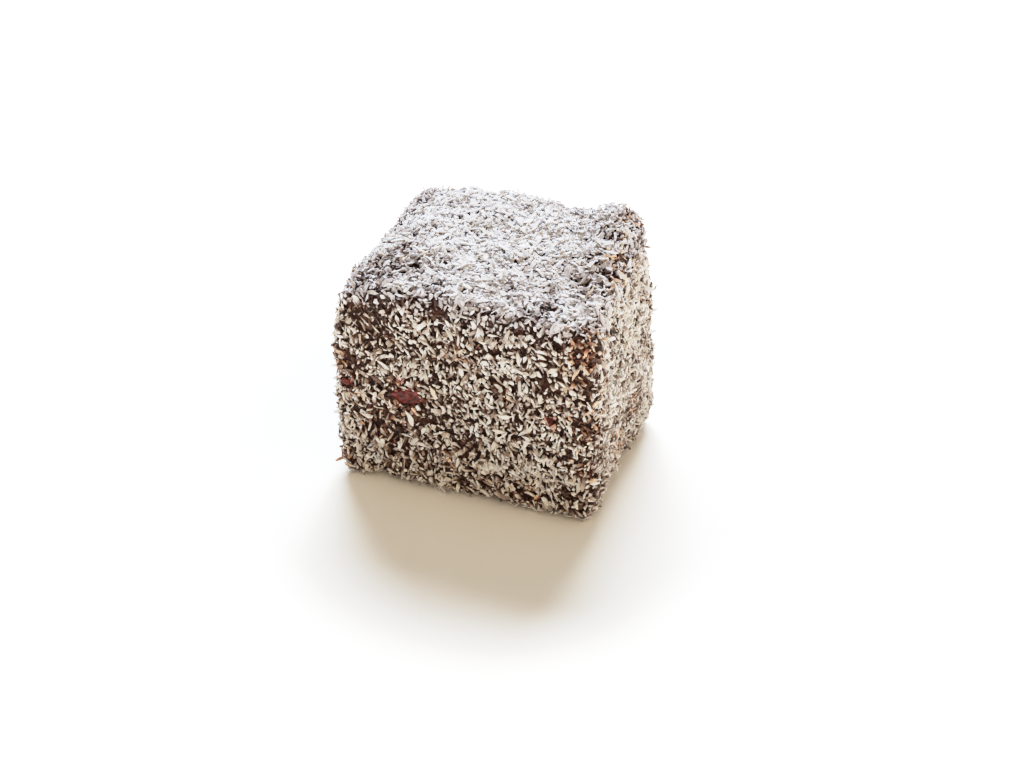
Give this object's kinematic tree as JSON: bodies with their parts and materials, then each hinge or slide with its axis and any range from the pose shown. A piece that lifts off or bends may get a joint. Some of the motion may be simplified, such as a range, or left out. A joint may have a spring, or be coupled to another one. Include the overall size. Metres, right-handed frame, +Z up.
{
  "type": "lamington cake",
  "caption": "Uncut block of sponge cake dipped in thin chocolate icing and rolled in desiccated coconut, with rounded edges and a crowned, slightly lopsided top; rests on its flat base.",
  "frame": {"origin": "on the flat base, below the middle of the block's bounding box", "axes": "+Z up from the base, +X along the broad front, +Y towards the back"},
  "size_m": [0.0592, 0.0466, 0.0531],
  "materials": {
    "coconut_coat": "matt, rough coat of pale coconut shreds over dark chocolate icing"
  },
  "bodies": {
    "root": {"lamington": "coconut_coat"}
  },
  "joints": []
}
